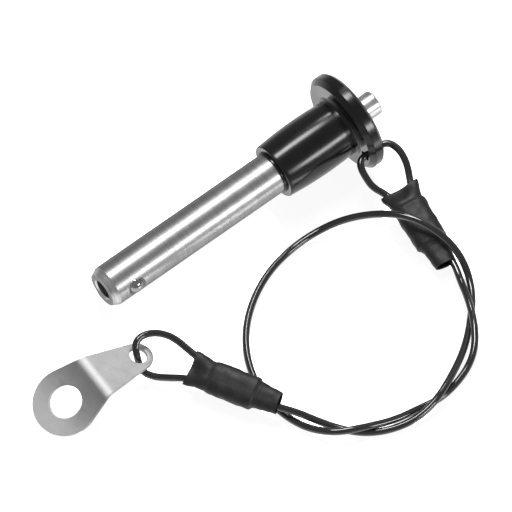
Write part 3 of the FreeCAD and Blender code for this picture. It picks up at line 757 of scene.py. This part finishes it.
def bent(u, y, w):
    """Where a point of the flat tab goes once it is bent. u runs from the eye to the small hole."""
    half_arc = TAB_RADIUS * TAB_ANGLE / 2
    tangent = TAB_RADIUS * math.tan(TAB_ANGLE / 2)
    if u < -half_arc:
        return Vector((u + half_arc - tangent, y, w))
    if u > half_arc:
        along = u - half_arc + tangent
        down = Vector((math.cos(TAB_ANGLE), 0, -math.sin(TAB_ANGLE)))
        up = Vector((math.sin(TAB_ANGLE), 0, math.cos(TAB_ANGLE)))
        return down * along + up * w + Vector((0, y, 0))
    turn = (u + half_arc) / TAB_RADIUS
    reach = TAB_RADIUS + w
    return Vector((-tangent + reach * math.sin(turn), y, -TAB_RADIUS + reach * math.cos(turn)))


def make_tab():
    slack = TAB_RADIUS * (math.tan(TAB_ANGLE / 2) - TAB_ANGLE / 2)
    ring_u, end_u = -(RING_REACH - slack), END_REACH - slack
    outline = []
    # the straight sides run from the ends of the bend and touch both round ends
    for centre, radius, count in ((ring_u, RING_R, 72), (end_u, END_R, 40)):
        away = math.atan2(BEND_HALF, -centre)
        spread = math.acos(radius / math.hypot(centre, BEND_HALF))
        first = away + spread if centre < 0 else spread - away
        last = 2 * math.pi - first if centre < 0 else away - spread
        for k in range(count + 1):
            t = first + (last - first) * k / count
            outline.append((centre + radius * math.cos(t), radius * math.sin(t)))
        outline.append((0.0, -BEND_HALF if centre < 0 else BEND_HALF))
    loops = [outline]
    for centre, radius, count in ((ring_u, EYE_R, 96), (end_u, HOLE_R, 64)):
        loops.append([
            (centre + radius * math.cos(2 * math.pi * k / count),
             radius * math.sin(2 * math.pi * k / count)) for k in range(count)
        ])
    mesh = bpy.data.meshes.new("mounting_tab")
    bm = bmesh.new()
    edges = []
    for loop in loops:
        verts = [bm.verts.new((u * MM, y * MM, -TAB_THICK / 2 * MM)) for u, y in loop]
        for i, vert in enumerate(verts):
            edges.append(bm.edges.new((vert, verts[(i + 1) % len(verts)])))
    bmesh.ops.triangle_fill(bm, use_beauty=True, edges=edges)
    made = bmesh.ops.extrude_face_region(bm, geom=bm.faces[:])
    lifted = [v for v in made["geom"] if isinstance(v, bmesh.types.BMVert)]
    bmesh.ops.translate(bm, verts=lifted, vec=(0, 0, TAB_THICK * MM))
    bmesh.ops.recalc_face_normals(bm, faces=bm.faces)
    rims = [e for e in bm.edges if len(e.link_faces) == 2
            and e.calc_face_angle(0) > math.radians(70)]
    bmesh.ops.bevel(bm, geom=rims, offset=0.16 * MM, segments=3, affect="EDGES", profile=0.5)
    half_arc = TAB_RADIUS * TAB_ANGLE / 2
    for i in range(17):
        u = -half_arc + 2 * half_arc * i / 16
        bmesh.ops.bisect_plane(bm, geom=bm.verts[:] + bm.edges[:] + bm.faces[:],
                               plane_co=(u * MM, 0, 0), plane_no=(1, 0, 0))
    for vert in bm.verts:
        vert.co = bent(vert.co.x / MM, vert.co.y / MM, vert.co.z / MM) * MM
    bm.to_mesh(mesh)
    bm.free()
    smooth(mesh, 40)
    x, y, z = TAB_TURN
    turn = Matrix.Rotation(z, 4, "Z") @ Matrix.Rotation(y, 4, "Y") @ Matrix.Rotation(x, 4, "X")
    tab = add_object("mounting_tab_visual", mesh, Matrix.Translation(TAB_BEND * MM) @ turn, "tab",
                     ["mounting_tab"], [TAB_STEEL])
    flat = tab.modifiers.new("even_normals", "WEIGHTED_NORMAL")
    flat.mode = "FACE_AREA"
    flat.weight = 100
    flat.keep_sharp = True


# ---------------------------------------------------------------- stage and light


def make_stage():
    """A wide, pale, glossy floor, just under the object, that shows a faint reflection of it."""
    mesh = bpy.data.meshes.new("floor")
    size = 3.0
    mesh.from_pydata([(-size, -size, 0), (size, -size, 0), (size, size, 0), (-size, size, 0)], [],
                     [(0, 1, 2, 3)])
    floor = bpy.data.objects.new("floor", mesh)
    floor.location.z = -0.00002
    scene.collection.objects.link(floor)
    m = Nodes("floor_acrylic")
    m.set(Base_Color=grey(0.12), Roughness=0.9, Specular_IOR_Level=0.0,
          Coat_Weight=1.0, Coat_IOR=2.0, Coat_Roughness=0.1,
          Emission_Color=grey(1.0), Emission_Strength=1.04)
    mesh.materials.append(m.material)


LIGHT_DISTANCE = 1.0


def softbox(name, direction, narrow, wide, narrow_way, radiance):
    """A rectangular light facing the object. narrow_way is roughly the way its narrow side runs."""
    data = bpy.data.lights.new(name, "AREA")
    data.shape = "RECTANGLE"
    data.size, data.size_y = wide, narrow
    # an area light's radiance is its power over its area and pi
    data.energy = radiance * narrow * wide * math.pi
    obj = bpy.data.objects.new(name, data)
    scene.collection.objects.link(obj)
    back = Vector(direction).normalized()
    side = Vector(narrow_way).cross(back).normalized()
    turn = Matrix((side, back.cross(side), back)).transposed()
    obj.matrix_world = Matrix.Translation(TARGET + back * LIGHT_DISTANCE) @ turn.to_4x4()


def make_light():
    world = bpy.data.worlds.new("studio")
    world.use_nodes = True
    back = world.node_tree.nodes["Background"]
    back.inputs["Color"].default_value = grey(1.0)
    back.inputs["Strength"].default_value = 0.28
    scene.world = world
    # a streak along the pin's top and one along its front, the cable's thin line, the tab's sheen
    softbox("top_box", (0.06, 0.235, 0.966), 0.21, 0.44, (0, 1, 0), 15.5)
    softbox("front_box", (0.335, -0.86, 0.36), 0.19, 0.42, (0, 0.36, 0.93), 12.5)
    softbox("cable_box", (0.3755, 0.4852, 0.79), 0.10, 0.11, (0, 1, 0), 20)
    softbox("tab_box", (0.655, 0.21, 0.723), 0.40, 0.45, (0, 1, 0), 0.45)
    scene.view_settings.view_transform = "Standard"


# ---------------------------------------------------------------- assembly

cable_obj = make_cable()
make_shank()
make_balls()
make_spindle()
make_button()
make_handle()
make_rear()
make_spring()
make_ferrule("ferrule_flange_loop", FLANGE_STRANDS)
make_ferrule("ferrule_tab_loop", TAB_STRANDS)
make_sleeve("sleeve_flange_loop", FLANGE_STRANDS, FLANGE_SLEEVE, 0.6, 0.25)
make_sleeve("sleeve_tab_loop", TAB_STRANDS, TAB_SLEEVE, 2.9, -0.2)
make_tab()
make_stage()
make_light()
